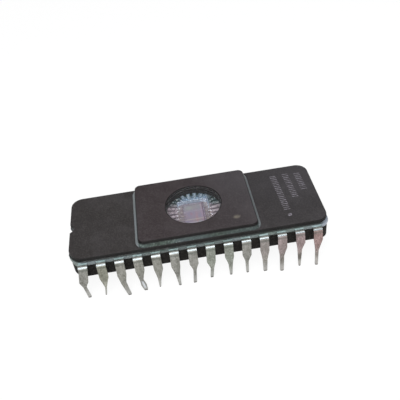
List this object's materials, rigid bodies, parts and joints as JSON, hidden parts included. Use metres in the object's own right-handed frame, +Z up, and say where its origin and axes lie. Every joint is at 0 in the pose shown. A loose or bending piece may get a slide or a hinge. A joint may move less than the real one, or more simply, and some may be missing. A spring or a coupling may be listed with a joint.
{
  "type": "memory chip",
  "caption": "Ultraviolet-erasable memory chip: long dark ceramic body on two rows of formed leads, with a raised lid and a round glass window over its die.",
  "frame": {"origin": "centre of the lead grid at the plane of the lead tips, under the middle of the body", "axes": "+X along the body away from the index notch, +Y from the front row (leads 1 to 14) to the rear row, +Z up through the lid and window"},
  "size_m": [0.037, 0.0168, 0.0079],
  "materials": {
    "black_ceramic": "matte black-brown pressed alumina",
    "cover_ceramic": "matte dark brown-grey pressed alumina",
    "lid_ceramic": "matte dark brown-grey pressed alumina",
    "seal_glass": "grey-green devitrified solder glass",
    "lid_glass": "grey-green solder glass fillet",
    "window_glass": "clear ultraviolet-transparent glass",
    "silicon": "polished silicon with a fine etched pattern",
    "die_bond": "dull lilac-silver bond metal, gold alloyed with silicon",
    "bond_wire": "bright drawn aluminium wire",
    "lead_metal": "dull tinned nickel-iron alloy, worn"
  },
  "bodies": {
    "root": {"ceramic_base": "black_ceramic", "seal_glass": "seal_glass", "ceramic_cover": "cover_ceramic", "lid_seal_glass": "lid_glass", "window_lid": "lid_ceramic", "window_glass": "window_glass", "die_attach": "die_bond", "die": "silicon", "bond_wires_front": "bond_wire", "bond_wires_rear": "bond_wire", "bond_wires_left": "bond_wire", "bond_wires_right": "bond_wire", "lead_01": "lead_metal", "lead_02": "lead_metal", "lead_03": "lead_metal", "lead_04": "lead_metal", "lead_05": "lead_metal", "lead_06": "lead_metal", "lead_07": "lead_metal", "lead_08": "lead_metal", "lead_09": "lead_metal", "lead_10": "lead_metal", "lead_11": "lead_metal", "lead_12": "lead_metal", "lead_13": "lead_metal", "lead_14": "lead_metal", "lead_15": "lead_metal", "lead_16": "lead_metal", "lead_17": "lead_metal", "lead_18": "lead_metal", "lead_19": "lead_metal", "lead_20": "lead_metal", "lead_21": "lead_metal", "lead_22": "lead_metal", "lead_23": "lead_metal", "lead_24": "lead_metal", "lead_25": "lead_metal", "lead_26": "lead_metal", "lead_27": "lead_metal", "lead_28": "lead_metal"}
  },
  "joints": []
}
